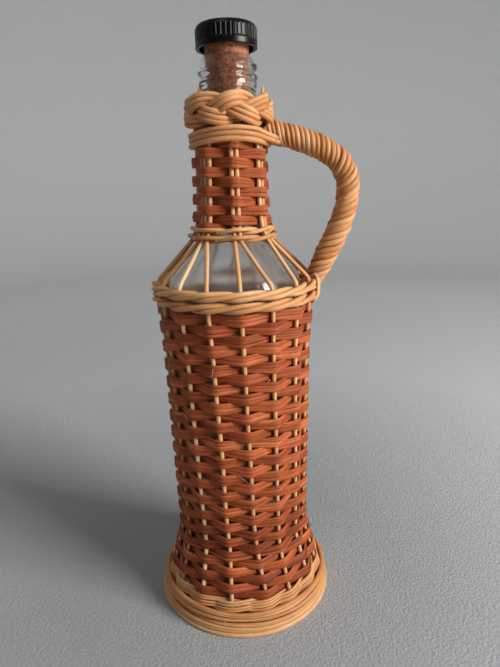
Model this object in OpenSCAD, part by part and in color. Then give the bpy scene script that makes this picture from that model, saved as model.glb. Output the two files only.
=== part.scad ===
// Wicker-covered glass bottle with a cork stopper and a side handle.
// Sixteen cane stakes stand round the glass and carry every other strand. Flat rows are
// woven round the body, twined and waled rows lock them, and the stakes draw together
// into seven groups at the neck. A plaited collar, a wound handle and a foot border
// finish the cover. Millimetres, Z up, the bottle's axis on Z, standing on Z = 0,
// with the handle towards +X.

/* [Bottle] */
// Outside diameter of the glass body at the shoulder
body_d = 72.6; // [70:0.2:76]
// How much narrower the glass body is at its base
body_taper = 8; // [6:0.5:9]
// Height of the glass body from its base to the corner of the shoulder
body_h = 181.4; // [176:0.2:184]
// Height of the sloping shoulder
shoulder_h = 21.2; // [19:0.2:24]
// Height of the neck from the shoulder to the rim
neck_h = 85.4; // [84.6:0.2:92]
// Outside diameter of the glass neck under the collar
neck_d = 27.6; // [26.8:0.2:28.4]
// Wall of the glass body
glass_t = 2.6; // [2:0.2:3.6]
// Thickness of the glass at the base
glass_base_t = 5; // [4:0.5:8]

/* [Stopper] */
// Diameter of the cork
cork_d = 21.6; // [20:0.2:22]
// Length of the cork that goes into the neck
cork_in = 19.6; // [14:0.2:22]
// Cork that shows between the rim and the cap
cork_show = 3.4; // [2:0.2:6]
// Outside diameter of the cap
cap_d = 30; // [29:0.5:33]
// Height of the cap
cap_h = 10.2; // [9:0.2:14]
// Wall of the cap
cap_t = 1.4; // [1:0.1:1.8]
// Height of the plain skirt below the ribs of the cap
cap_skirt = 2.6; // [1.6:0.2:4]

/* [Cane] */
// Diameter of the stakes and of the base sticks
stake_d = 2.5; // [2.1:0.1:2.6]
// Thickness of the flat weaving strands
band_t = 1.1; // [0.8:0.1:1.2]
// Diameter of the rods of the shoulder band
wale_d = 2.4; // [2:0.1:2.5]
// Diameter of the twined strands above the foot
foot_twine_d = 1.4; // [1.2:0.1:1.6]
// Diameter of the twined strands at the foot of the neck
neck_twine_d = 1.8; // [1.5:0.1:1.8]
// Diameter of the rod wound under the collar
winding_d = 2.5; // [2.1:0.1:2.5]
// Diameter of the rods of the plaited collar
plait_d = 2.7; // [2.3:0.1:2.8]
// Thickness of the lashing that ties the handle to the shoulder band
tie_t = 0.8; // [0.6:0.1:0.9]

/* [Weave] */
// Height of one woven row at the top of the body
row_h = 5.15; // [4.9:0.05:5.3]
// Angle that the stakes lean round the bottle from top to bottom
stake_lean = 6.4; // [0:0.2:9]
// Height of the neck over which the stakes are woven
neck_weave_h = 38.6; // [36:0.2:39]
// Width of the strip that the base is woven with
base_strip_w = 3.9; // [3:0.1:4.2]

/* [Foot] */
// Outside diameter of the foot
foot_d = 102; // [98:0.5:106]
// Diameter of the rods of the foot
foot_rod_d = 3; // [2.6:0.1:3.2]
// How far the foot border leans in over its height
foot_lean = 1.6; // [0:0.2:2]
// Clearance between the table and the base weave
base_lift = 2; // [1.2:0.2:4]

/* [Collar] */
// Outside diameter of the plaited collar
collar_d = 45.4; // [44.6:0.2:47]
// Height from the middle of one plaited strand's top bend to its bottom bend
plait_sway = 12.4; // [11.6:0.2:13]

/* [Handle] */
// Distance of the handle's centre line from the bottle's axis, at its widest
handle_reach = 60; // [56:0.5:66]
// Diameter of the rods bundled in the handle
handle_core_d = 7.4; // [6.6:0.1:8]
// Width of the strip wound round the handle
wrap_w = 2.3; // [1.9:0.1:2.3]
// Thickness of the strip wound round the handle
wrap_t = 1.9; // [1.4:0.1:2.2]

/* [Hidden] */

// Counts of what repeats
stakes = 16;
groups = 7;
rows = 33;
rows_per_piece = 3;
neck_turns = 7.5;
neck_start = 5;
winding_turns = 2.8;
wrap_turns = 24;
tie_turns = 2;
base_rounds = 5;

// Clearances: beside a neighbour, round the flat strands, and of the cork in the neck
touch = 0.3;
play = 0.45;
cork_fit = 0.06;
// Half the angle left open where the two ends of a row meet
end_gap = 0.6;
// A four-sided section is drawn through its corners, this much beyond its half sizes
corner = sqrt(2);

// Step of a flat strand in front of or behind a stake, on the body and on the neck
pass = stake_d / 2 + band_t / 2 + play;
neck_pass = pass + touch + 0.1;
// Distance from the glass to the middle of a stake
hug = pass + band_t / 2 + touch;

// Heights of the base
base_z = base_lift + pass + band_t / 2;
glass_z = base_z + pass + band_t / 2 + touch;
shoulder_z = glass_z + body_h;
neck_z = shoulder_z + shoulder_h;
rim_z = neck_z + neck_h;

// The shoulder band: two rows of three rods each
wale_rise = wale_d / 2 + 0.2;
wale_h = 2 * wale_rise + wale_d;
wale_out = stake_d / 2 + wale_d / 2 + touch;
wale_top = shoulder_z - 1.1;
wale_upper_z = wale_top - wale_h / 2;
wale_lower_z = wale_upper_z - wale_h - 0.2;
wale_bottom = wale_lower_z - wale_h / 2;
wale_stake_r = body_d / 2 + wale_out + wale_d / 2 + touch;

// The foot: a ring cut flat where it stands, and the rods that lie on it
flat_cut = 0.5;
ring_z = foot_rod_d / 2 - flat_cut;
ring_r = foot_d / 2 - foot_rod_d / 2;
border_low_z = ring_z + foot_rod_d + 0.05;
border_step = foot_rod_d + 0.05;
border_rods = 3;
border_top_z = border_low_z + (border_rods - 1) * border_step;
foot_stake_r = ring_r - foot_rod_d / 2 - touch - stake_d / 2;

// The twined rows above the foot
foot_twine_rise = foot_twine_d / 2 + 0.05;
foot_twine_h = 2 * foot_twine_rise + foot_twine_d;
foot_twine_out = stake_d / 2 + foot_twine_d / 2 + touch;
foot_twine_z1 = border_top_z + foot_rod_d / 2 + foot_twine_h / 2 + 0.2;
foot_twine_z2 = foot_twine_z1 + foot_twine_h + 0.1;

// The rows of the body, level, with a height that grows less towards the foot
over_share = 0.545;
under_share = 0.37;
top_row_z = wale_bottom - over_share * row_h - 0.8;
last_row_z = foot_twine_z2 + foot_twine_h / 2 + 2.4;
row_span = top_row_z - last_row_z;
row_bend = row_h * (rows - 1) / row_span - 1;
function row_z(k) =
    let (x = k / (rows - 1))
    top_row_z - row_span * ((1 + row_bend) * x - row_bend * x ^ 3);
function row_pitch(k) =
    let (x = k / (rows - 1))
    row_span / (rows - 1) * (1 + row_bend - 3 * row_bend * x ^ 2);

// The neck: its twined rows, its weave and the rod wound above it
neck_twine_rise = neck_twine_d / 2 + 0.05;
neck_twine_h = 2 * neck_twine_rise + neck_twine_d;
neck_twine_out = stake_d / 2 + neck_twine_d / 2 + play;
neck_twine_z1 = neck_z - 0.2;
neck_twine_z2 = neck_twine_z1 + neck_twine_h + 0.1;
neck_row_h = neck_weave_h / (neck_turns + 1.09);
neck_low_z = neck_twine_z2 + neck_twine_h / 2 + over_share * neck_row_h + 0.2;
neck_high_z = neck_low_z + neck_turns * neck_row_h;
winding_pitch = winding_d + 0.2;
winding_high_z = neck_high_z + over_share * neck_row_h + touch + winding_d / 2
    + 2 * winding_pitch;
winding_low_z = winding_high_z - winding_turns * winding_pitch;
winding_r = neck_d / 2 + hug + stake_d / 2 + touch + winding_d / 2;
winding_out = winding_r + winding_d / 2;

// The plaited collar
plait_a = plait_sway / 2;
plait_depth = 2.4;
plait_gap = plait_d + 0.05;
plait_r = collar_d / 2 - plait_d / 2 - plait_depth;
plait_half_h = plait_a + plait_gap / 2 + plait_d / 2;
plait_z = winding_high_z + winding_d / 2 + 0.4 + plait_half_h;
stake_top_z = plait_z - plait_half_h - 0.6;

// Radius of the glass body, and of the middle of the stakes, at height z
function glass_r(z) = body_d / 2 - body_taper / 2 * (shoulder_z - z) / body_h;
flare_h = 0.149 * body_h;
flare_out = body_d / 9;
flare_z = foot_twine_z2 + flare_h;
hug_z = wale_bottom - flare_h;
neck_stake_r = neck_d / 2 + hug;
stake_line = [
    [0, foot_stake_r],
    [border_top_z, foot_stake_r - foot_lean],
    [foot_twine_z1 + foot_twine_h / 2, glass_r(foot_twine_z1) + hug + flare_out],
    [flare_z, glass_r(flare_z) + hug],
    [hug_z, glass_r(hug_z) + hug],
    [wale_bottom, wale_stake_r],
    [shoulder_z, wale_stake_r],
    [neck_z - 0.8, neck_stake_r + 4.3],
    [neck_twine_z2 + neck_twine_h / 2, neck_stake_r + 1.8],
    [neck_low_z + neck_row_h, neck_stake_r + 0.8],
    [neck_low_z + 4 * neck_row_h, neck_stake_r + 0.3],
    [winding_low_z, neck_stake_r],
    [stake_top_z + 1, neck_stake_r]];
function stake_r(z) = lookup(z, stake_line);
// Azimuths are counted from -Y towards +X, so that the handle is at 90
handle_a = 90;
function body_a(j, z) = (j + 0.5) * 360 / stakes + stake_lean * (top_row_z - z) / row_span;
// Stakes that belong to one group at the neck
function group_of(j) = floor((groups * j + groups - 1) / stakes);
function first_of(g) = ceil((stakes * g - groups + 1) / groups);
function size_of(g) = first_of(g + 1) - first_of(g);
function group_a(g) = handle_a + (g - 1.5) * 360 / groups;
function neck_step(z) = (stake_d + 0.2) / stake_r(z) * 180 / PI;
function neck_a(j, z) =
    let (g = group_of(j))
    group_a(g) + (j - first_of(g) - (size_of(g) - 1) / 2) * neck_step(z);
function wrap_group(g) = (g % groups + groups) % groups;
// Azimuth of the left (side -1) or right (side 1) rod of a group
function flank_a(g, side, z) =
    group_a(g) + side * (size_of(wrap_group(g)) - 1) / 2 * neck_step(z);

function unit(v) = v / norm(v);
function at(a, r, z) = [r * sin(a), -r * cos(a), z];
// Outward direction square to the stakes at azimuth a and height z, and the one along them
function slope(z) = (stake_r(z + 0.5) - stake_r(z - 0.5));
function outward(a, z) = unit([sin(a), -cos(a), -slope(z)]);
function upward(a, z) = unit([slope(z) * sin(a), -slope(z) * cos(a), 1]);
// A station of a strand: its point, the direction of its thickness, and two half sizes
function station(a, z, out, up, half_t, half_w) =
    [at(a, stake_r(z), z) + out * outward(a, z) + up * upward(a, z), outward(a, z),
     half_t, half_w];

function heading(s, i) = unit(s[min(i + 1, len(s) - 1)][0] - s[max(i - 1, 0)][0]);
function ring(s, i, sides) =
    let (
        t = heading(s, i),
        v = unit(s[i][1] - (s[i][1] * t) * t),
        w = cross(t, v))
    [for (k = [0 : sides - 1])
        let (q = 360 * (k + 0.5) / sides)
        s[i][0] + s[i][2] * cos(q) * v + s[i][3] * sin(q) * w];
function skin_points(strands, sides) =
    [for (s = strands, i = [0 : len(s) - 1]) each ring(s, i, sides)];
function skin_faces(n, sides, from) = concat(
    [for (k = [1 : sides - 2]) [from, from + k, from + k + 1]],
    [for (i = [0 : n - 2], k = [0 : sides - 1])
        let (
            a = from + i * sides + k,
            b = from + i * sides + (k + 1) % sides)
        each [[a, a + sides, b + sides], [a, b + sides, b]]],
    [for (k = [1 : sides - 2])
        let (e = from + (n - 1) * sides)
        [e, e + k + 1, e + k]]);
function starts(strands, sides, i = 0, from = 0) =
    i == len(strands) ? []
    : concat([from], starts(strands, sides, i + 1, from + len(strands[i]) * sides));
// Strands given by their stations, each skinned as a closed solid
module skin(strands, sides) {
    from = starts(strands, sides);
    polyhedron(
        points = skin_points(strands, sides),
        faces = [for (i = [0 : len(strands) - 1])
            each skin_faces(len(strands[i]), sides, from[i])]);
}

// A path through corners, each rounded with its radius: entries are [x, y, radius]
function rounded(c) = [for (i = [0 : len(c) - 1])
    each c[i][2] == 0 ? [[c[i][0], c[i][1]]] : corner_arc(c, i)];
function corner_arc(c, i) =
    let (
        p = [c[i][0], c[i][1]],
        u = unit([c[i - 1][0], c[i - 1][1]] - p),
        w = unit([c[i + 1][0], c[i + 1][1]] - p),
        half = acos(u * w) / 2,
        centre = p + unit(u + w) * c[i][2] / sin(half),
        from = p + u * c[i][2] / tan(half) - centre,
        to = p + w * c[i][2] / tan(half) - centre,
        sweep = acos(unit(from) * unit(to)),
        turn = cross([from[0], from[1], 0], [to[0], to[1], 0])[2] > 0 ? 1 : -1)
    [for (k = [0 : 6])
        let (q = turn * sweep * k / 6)
        centre + [from[0] * cos(q) - from[1] * sin(q), from[0] * sin(q) + from[1] * cos(q)]];

// Glass: one wall from the pushed-up base to the rim, with a bore that fits the cork
finish_d = cork_d + 5;
finish_h = 14;
neck_swell = 1.9;
module glass_bottle() {
    bore_r = cork_d / 2 + cork_fit;
    cone = unit([-(body_d - neck_d) / 2, shoulder_h]);
    lift = glass_t * (1 - cone[0]) / cone[1] - glass_t;
    color("azure", 0.5)
    rotate_extrude($fn = 96)
    polygon(rounded([
        [0, glass_z + 2, 0],
        [18, glass_z + 2, 6],
        [22, glass_z, 2],
        [glass_r(glass_z), glass_z, 6],
        [body_d / 2, shoulder_z, 22],
        [neck_d / 2 + neck_swell, neck_z, 12],
        [neck_d / 2 + 0.7, neck_low_z + neck_row_h, 0],
        [neck_d / 2 + 0.2, neck_low_z + 4 * neck_row_h, 0],
        [neck_d / 2, winding_low_z, 0],
        [neck_d / 2, plait_z + plait_half_h, 0],
        [neck_d / 2 + 0.7, rim_z - finish_h, 0.5],
        [neck_d / 2 + 0.7, rim_z - finish_h + 3, 0.5],
        [finish_d / 2, rim_z - finish_h + 3.6, 0],
        [finish_d / 2, rim_z - 2.2, 1],
        [finish_d / 2 - 1, rim_z, 0],
        [bore_r, rim_z, 0],
        [bore_r, rim_z - cork_in - 6, 0],
        [neck_d / 2 - glass_t, rim_z - cork_in - 16, 3],
        [neck_d / 2 + neck_swell - glass_t, neck_z - lift, 12],
        [body_d / 2 - glass_t, shoulder_z - lift, 19],
        [glass_r(glass_z) - glass_t, glass_z + glass_base_t, 5],
        [24, glass_z + glass_base_t, 3],
        [19, glass_z + glass_base_t + 1, 3],
        [0, glass_z + glass_base_t + 1, 0]]));
}

// Cork: a plain cylinder with broken edges, held in the cap and pushed into the neck
cap_z = rim_z + cork_show;
cap_top = cap_z + cap_h;
module cork() {
    top = cap_top - cap_t - 0.05;
    low = rim_z - cork_in;
    chamfer = 0.8;
    color("sienna")
    rotate_extrude($fn = 96)
    polygon([
        [0, low],
        [cork_d / 2 - chamfer, low],
        [cork_d / 2, low + chamfer],
        [cork_d / 2, top],
        [0, top]]);
}

// Cap: a ribbed shell, open below, with a socket for the cork
cap_ribs = 60;
rib_depth = 0.35;
module cap() {
    socket_r = cork_d / 2 + 0.05;
    round_r = 1.4;
    inner_r = cap_d / 2 - rib_depth - cap_t;
    color("black")
    difference() {
        union() {
            rotate_extrude($fn = 96)
            polygon(rounded([
                [0, cap_z, 0],
                [cap_d / 2, cap_z, 0],
                [cap_d / 2, cap_z + cap_skirt, 0],
                [cap_d / 2 - rib_depth, cap_z + cap_skirt, 0],
                [cap_d / 2 - rib_depth, cap_top, round_r],
                [0, cap_top, 0]]));
            translate([0, 0, cap_z + cap_skirt])
            linear_extrude(cap_h - cap_skirt - round_r)
            polygon([for (i = [0 : 2 * cap_ribs - 1])
                at(i * 180 / cap_ribs, cap_d / 2 - (i % 2 == 0 ? 0.02 : rib_depth + 0.05), 0)]
                * [[1, 0], [0, 1], [0, 0]]);
        }
        difference() {
            translate([0, 0, cap_z - 1])
            cylinder(r = inner_r, h = cap_h - cap_t + 1, $fn = 96);
            translate([0, 0, cap_top - cap_t - 4])
            cylinder(r = socket_r + 1, h = 4, $fn = 96);
        }
        translate([0, 0, cap_z - 1])
        cylinder(r = socket_r, h = cap_h - cap_t + 1, $fn = 96);
    }
}

// Base: four sticks over four, fanned out into sixteen spokes that meet the stakes
stick_gap = stake_d + 0.2;
base_end_r = stake_r(base_z + stake_d / 2) - stake_d / 2 - touch;
module base_sticks(upper) {
    lift = (upper ? 1 : -1) * (stake_d / 2 + 0.1);
    turn = body_a(-0.5, base_z) + (upper ? 90 : 0);
    sticks = [for (k = [0 : 3])
        let (
            x = (k - 1.5) * stick_gap,
            a = (k - 1.5) * 360 / stakes,
            half = [
                [for (r = [base_end_r, 17]) [r * sin(a), -r * cos(a), base_z]],
                [[x, -10, base_z + lift]]],
            near = concat(half[0], half[1]),
            far = [for (i = [2 : -1 : 0]) [near[i][0], -near[i][1], near[i][2]]])
        [for (p = concat(near, far))
            [[p[0] * cos(turn) - p[1] * sin(turn), p[0] * sin(turn) + p[1] * cos(turn), p[2]],
             [0, 0, 1], stake_d / 2, stake_d / 2]]];
    color("burlywood") skin(sticks, 6);
}
base_weave_in = 19.5;
base_weave_pitch = base_strip_w + 0.7;
module base_weave() {
    color("tan")
    skin([for (k = [0 : base_rounds - 1])
        let (r = base_weave_in + base_weave_pitch * k)
        [for (s = [0 : stakes])
            let (
                j = stakes / 2 + k % 2 + s,
                side = (j + k) % 2 == 0 ? 1 : -1,
                open = s == 0 ? end_gap : s == stakes ? -end_gap : 0)
            [at(body_a(j, base_z) + open, r, base_z + side * pass), [0, 0, 1],
             corner * band_t / 2, corner * base_strip_w / 2]]], 4);
}

// Foot: the ring it stands on, and a border of three rods that lie on it one on another,
// each closed by a butt joint at the back
module foot_ring() {
    color("wheat")
    difference() {
        rotate_extrude($fn = 96)
        translate([ring_r, ring_z])
        circle(d = foot_rod_d, $fn = 24);
        translate([0, 0, -2])
        cylinder(r = foot_d, h = 2, $fn = 96);
    }
}
module foot_border() {
    steps = 36;
    color("wheat")
    skin([for (m = [0 : border_rods - 1])
        [for (i = [0 : steps])
            let (a = handle_a + 150 + 30 * m + end_gap + i / steps * (360 - 2 * end_gap))
            [at(a, ring_r - foot_lean * (m + 1) / border_rods, border_low_z + m * border_step),
             [sin(a), -cos(a), 0], foot_rod_d / 2, foot_rod_d / 2]]], 6);
}

// Twining: two strands that change places between every two stakes
module twining(z, out, rise, d) {
    color("wheat")
    skin([for (q = [0, 1])
        [for (i = [0 : 2 * stakes])
            let (
                h = (i + 2 * q) % 4,
                open = i == 0 ? end_gap : i == 2 * stakes ? -end_gap : 0,
                a = body_a(stakes / 2 + i / 2, z) + open)
            station(a, z, [out, 0, -out, 0][h], [0, rise, 0, -rise][h], d / 2, d / 2)]], 4);
}

// Waling: three rods, each in front of two stakes and behind the third
module waling(z) {
    mid_out = wale_out + 0.15;
    color("wheat")
    skin([for (q = [0 : 2])
        [for (i = [0 : 2 * stakes])
            let (
                h = (i + 2 * q) % 6,
                out = [wale_out, mid_out, wale_out, 0, -wale_out, 0][h],
                up = [-1, 0, 1, 1, 0, -1][h] * wale_rise,
                open = i == 0 ? end_gap : i == 2 * stakes ? -end_gap : 0,
                a = body_a(stakes / 2 + i / 2, z) + open)
            station(a, z, out, up, wale_d / 2, wale_d / 2)]], 5);
}

// A row of the body: one flat strand in front of and behind the stakes in turn,
// wide where it shows and drawn in where it passes behind
function row_strand(k) =
    let (z = row_z(k))
    [for (s = [0 : stakes])
        let (
            j = stakes / 2 + (k + 1) % 2 + s,
            front = (j + k) % 2 == 0,
            open = s == 0 ? end_gap : s == stakes ? -end_gap : 0)
        station(body_a(j, z) + open, z, front ? pass : -pass, 0, corner * band_t / 2,
            corner * row_pitch(k) * (front ? over_share : under_share))];
module weave(b) {
    color("chocolate")
    skin([for (k = [(b - 1) * rows_per_piece : b * rows_per_piece - 1]) row_strand(k)], 4);
}

// A stake: from the foot up the body, over the shoulder and into its group at the neck
module stake(n) {
    j = n - 1;
    body = [for (z = [0.6, border_top_z, foot_twine_z1 + foot_twine_h / 2, flare_z, hug_z,
            wale_bottom, shoulder_z - 0.4])
        [body_a(j, z), z]];
    neck = [for (z = [neck_z - 0.8, neck_twine_z1, neck_twine_z2 + neck_twine_h / 2,
            neck_low_z + neck_row_h, neck_low_z + 4 * neck_row_h, winding_low_z, stake_top_z])
        [neck_a(j, z), z]];
    color("wheat")
    skin([[for (p = concat(body, neck))
        [at(p[0], stake_r(p[1]), p[1]), [cos(p[0]), sin(p[0]), 0],
         stake_d / 2, stake_d / 2]]], 6);
}

// Twining round the groups at the foot of the neck: a strand lies flat across a group
module neck_band(z) {
    color("wheat")
    skin([for (q = [0, 1])
        [for (i = [0 : 3 * groups])
            let (
                g = floor(i / 3),
                side = (g + q) % 2 == 0 ? 1 : -1,
                a = i % 3 == 0
                    ? group_a(g - 0.5) + (i == 0 ? end_gap : i == 3 * groups ? -end_gap : 0)
                    : flank_a(g, i % 3 == 1 ? -1 : 1, z))
            station(a, z, i % 3 == 0 ? 0 : side * neck_twine_out,
                i % 3 == 0 ? -side * neck_twine_rise : 0,
                neck_twine_d / 2, neck_twine_d / 2)]], 4);
}

// The weave of the neck: one flat strand that winds down, since the groups are odd in number
module neck_weave() {
    count = 2 * groups * neck_turns;
    color("chocolate")
    skin([[for (i = [0 : count])
        let (
            g = neck_start + floor(i / 2),
            z = neck_high_z - i / count * neck_turns * neck_row_h,
            front = g % 2 == 0)
        station(flank_a(g, i % 2 == 0 ? -1 : 1, z), z, front ? neck_pass : -pass, 0,
            corner * band_t / 2,
            corner * neck_row_h * (front ? over_share : under_share))]], 4);
}

// The rod wound round the neck between the weave and the collar
module collar_winding() {
    per_turn = 20;
    count = per_turn * winding_turns;
    color("wheat")
    skin([[for (i = [0 : count])
        let (a = handle_a + 180 + i * 360 / per_turn)
        [at(a, winding_r, winding_high_z - i / per_turn * winding_pitch), [sin(a), -cos(a), 0],
         winding_d / 2, winding_d / 2]]], 6);
}

// The collar: a plait of three strands, each a pair of rods, with a bend for every group.
// A strand comes back to its start after three turns round the neck.
plait_steps = 84;
function plait_point(i) =
    let (
        a = handle_a + i * 3 * 360 / plait_steps,
        q = i * groups * 360 / plait_steps)
    at(a, plait_r + plait_depth * sin(2 * q), plait_z + plait_a * sin(q));
function plait_strand(side) = [for (n = [0 : plait_steps])
    let (
        i = n == 0 ? 0.3 : n == plait_steps ? plait_steps - 0.3 : n,
        p = plait_point(i),
        t = unit(plait_point(i + 0.5) - plait_point(i - 0.5)),
        radial = unit([p[0], p[1], 0]),
        v = unit(radial - (radial * t) * t),
        w = cross(v, t))
    [p + side * plait_gap / 2 * w, v, plait_d / 2, plait_d / 2]];
module collar_plait(side) {
    color("wheat") skin([plait_strand(side)], 5);
}

// The handle: its centre line is one curve from the collar to the shoulder band
handle_top = [winding_out + 1.2, plait_z - plait_half_h - 2.6];
handle_low = [wale_stake_r + 3.8, wale_top + 3.5];
handle_rise = handle_top[1] - handle_low[1];
handle_ctrl = (handle_reach - (handle_top[0] + handle_low[0]) / 8) * 4 / 3;
handle_curve = [
    handle_top,
    [handle_ctrl, handle_top[1] - 0.15 * handle_rise],
    [handle_ctrl - 3, handle_low[1] + 0.6 * handle_rise],
    handle_low];
function bezier(c, t) =
    (1 - t) ^ 3 * c[0] + 3 * (1 - t) ^ 2 * t * c[1] + 3 * (1 - t) * t ^ 2 * c[2] + t ^ 3 * c[3];
curve_steps = 60;
function lengths(i = 0, total = 0) =
    i > curve_steps ? []
    : let (step = i == 0 ? 0
            : norm(bezier(handle_curve, i / curve_steps)
                - bezier(handle_curve, (i - 1) / curve_steps)))
        concat([[total + step, i / curve_steps]], lengths(i + 1, total + step));
length_table = lengths();
handle_length = length_table[curve_steps][0];
function handle_at(s) = bezier(handle_curve, lookup(s, length_table));
function handle_dir(s) = unit(handle_at(s + 0.5) - handle_at(s - 0.5));

module handle_core() {
    steps = 16;
    color("tan")
    skin([[for (i = [0 : steps])
        let (p = handle_at(i / steps * handle_length))
        [[p[0], 0, p[1]], [0, 1, 0], handle_core_d / 2, handle_core_d / 2]]], 8);
}

// The strip wound round the handle, one unbroken winding
wrap_steps = 10;
wrap_r = handle_core_d / 2 + touch + wrap_t / 2;
wrap_from = 3.4;
wrap_to = handle_length - 3.4;
wrap_strand = [for (i = [0 : wrap_turns * wrap_steps])
    let (
        s = wrap_from + (wrap_to - wrap_from) * i / (wrap_turns * wrap_steps),
        p = handle_at(s),
        d = handle_dir(s),
        q = 360 * i / wrap_steps,
        out = cos(q) * [-d[1], 0, d[0]] + sin(q) * [0, 1, 0])
    [[p[0], 0, p[1]] + wrap_r * out, out, wrap_t / 2, wrap_w / 2]];
wrap_rings = [for (i = [0 : len(wrap_strand) - 1]) ring(wrap_strand, i, 6)];
wrap_least = min([for (
    i = [0 : len(wrap_rings) - wrap_steps - 4],
    k = [wrap_steps - 2 : wrap_steps + 2])
    let (
        near = [for (p = wrap_rings[i], q = wrap_rings[i + k]) norm(p - q)])
    min(near)]);
module handle_wrap() {
    echo(least_gap_of_the_handle_winding = wrap_least);
    color("wheat") skin([wrap_strand], 6);
}

// The lashing at the handle's foot, round both rows of the shoulder band
module handle_tie() {
    per_turn = 12;
    tie_w = 1.3;
    tie_pitch = tie_w + play;
    in_x = wale_stake_r - wale_d / 2 - 0.95 - tie_t / 2;
    out_x = wale_stake_r + wale_out + 0.15 + wale_d / 2 + touch + tie_t / 2;
    top = wale_top + touch + tie_t / 2;
    low = wale_bottom - 0.2 - tie_t / 2;
    function squared(v) = sign(v) * abs(v) ^ 0.4;
    color("wheat")
    skin([[for (i = [0 : per_turn * tie_turns])
        let (
            q = 45 + 360 * i / per_turn,
            out = [cos(q), 0, sin(q)])
        [[(in_x + out_x) / 2 + (out_x - in_x) / 2 * squared(cos(q)),
          (i / per_turn - tie_turns / 2) * tie_pitch,
          (low + top) / 2 + (top - low) / 2 * squared(sin(q))],
         out, corner * tie_t / 2, corner * tie_w / 2]]], 4);
}

glass_bottle();
cork();
cap();
base_sticks(false);  // base_sticks_lower
base_sticks(true);  // base_sticks_upper
base_weave();
foot_ring();
foot_border();
twining(foot_twine_z1, foot_twine_out, foot_twine_rise, foot_twine_d);  // foot_twine_lower
twining(foot_twine_z2, foot_twine_out, foot_twine_rise, foot_twine_d);  // foot_twine_upper
waling(wale_lower_z);  // shoulder_wale_lower
waling(wale_upper_z);  // shoulder_wale_upper
neck_band(neck_twine_z1);  // neck_band_lower
neck_band(neck_twine_z2);  // neck_band_upper
neck_weave();
collar_winding();
collar_plait(1);  // collar_plait_upper
collar_plait(-1);  // collar_plait_lower
handle_core();
handle_wrap();
handle_tie();
stake(1);  // stake_01
stake(2);  // stake_02
stake(3);  // stake_03
stake(4);  // stake_04
stake(5);  // stake_05
stake(6);  // stake_06
stake(7);  // stake_07
stake(8);  // stake_08
stake(9);  // stake_09
stake(10);  // stake_10
stake(11);  // stake_11
stake(12);  // stake_12
stake(13);  // stake_13
stake(14);  // stake_14
stake(15);  // stake_15
stake(16);  // stake_16
weave(1);  // weave_01
weave(2);  // weave_02
weave(3);  // weave_03
weave(4);  // weave_04
weave(5);  // weave_05
weave(6);  // weave_06
weave(7);  // weave_07
weave(8);  // weave_08
weave(9);  // weave_09
weave(10);  // weave_10
weave(11);  // weave_11
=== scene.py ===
"""A glass bottle with a cork stopper in a cane cover, dressed round its solids.

Every strand of the cover is a surface worked out as arrays: a section carried along the
strand's own path. Paths are in millimetres and degrees, with azimuths counted from -Y
towards +X, and become metres when a mesh is made.
"""

import math

import bpy
import numpy as np
from mathutils import Matrix, Vector


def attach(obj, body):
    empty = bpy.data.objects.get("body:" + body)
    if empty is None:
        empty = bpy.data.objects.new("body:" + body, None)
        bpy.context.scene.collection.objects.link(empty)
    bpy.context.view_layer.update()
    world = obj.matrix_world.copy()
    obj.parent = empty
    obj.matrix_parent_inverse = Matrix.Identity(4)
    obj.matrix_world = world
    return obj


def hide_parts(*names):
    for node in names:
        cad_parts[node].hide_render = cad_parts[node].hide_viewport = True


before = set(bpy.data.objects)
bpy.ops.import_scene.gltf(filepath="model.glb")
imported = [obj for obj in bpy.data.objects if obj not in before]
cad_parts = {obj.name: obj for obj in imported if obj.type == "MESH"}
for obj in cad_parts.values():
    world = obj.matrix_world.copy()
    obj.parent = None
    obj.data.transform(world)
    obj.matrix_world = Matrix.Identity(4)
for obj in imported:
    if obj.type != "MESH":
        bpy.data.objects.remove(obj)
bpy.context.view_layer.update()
chance = np.random.default_rng(4893)
MM = 0.001

# The sizes that the solids are built to. A name ends in _Z for a height, _R for a distance from
# the axis, _D for a thickness and _A for an azimuth. PASS, _OUT and _RISE are how far a strand
# steps out from its line and up along it.
STAKES, GROUPS, ROWS, NECK_TURNS, NECK_START = 16, 7, 33, 7.5, 5
BODY_R, BODY_TAPER, NECK_R = 36.3, 4.0, 13.8
GLASS_Z, SHOULDER_Z, NECK_Z, RIM_Z = 7.9, 189.3, 210.5, 295.9
CAP_Z, CAP_TOP, CAP_R, CORK_R = 299.3, 309.5, 15.0, 10.8
STAKE_R, STAKE_TOP, BAND_T, PASS, NECK_PASS = 1.25, 262.745, 1.1, 2.25, 2.65
TOP_ROW, LAST_ROW, ROW_BEND, LEAN = 173.993, 20.15, 0.07122, 6.4
ROW_SPAN = TOP_ROW - LAST_ROW
WALE_Z, WALE_OUT, WALE_RISE, WALE_D = (180.2, 185.6), 2.75, 1.4, 2.4
TWINE_Z, TWINE_OUT, TWINE_RISE, TWINE_D = (13.3, 16.3), 2.25, 0.75, 1.4
BAND_Z, BAND_OUT, BAND_RISE, BAND_D = (210.3, 214.1), 2.6, 0.95, 1.8
NECK_LOW, NECK_ROW = 218.599, 4.4936
NECK_HIGH = NECK_LOW + NECK_TURNS * NECK_ROW
WIND_LOW, WIND_R, PLAIT_R, PLAIT_DEPTH = 254.14, 19.7, 18.95, 2.4
RING_R, RING_Z, ROD_D, BORDER_LOW, BASE_Z = 49.5, 1.0, 3.0, 4.05, 4.8
WRAP_R, HANDLE_A = 4.95, 90.0
# Corners of the handle's Bezier curve: distance from the axis, height
HANDLE_CURVE = np.array([[22.15, 260.745], [68.917, 250.388], [65.917, 233.127], [44.35, 191.7]])
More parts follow.
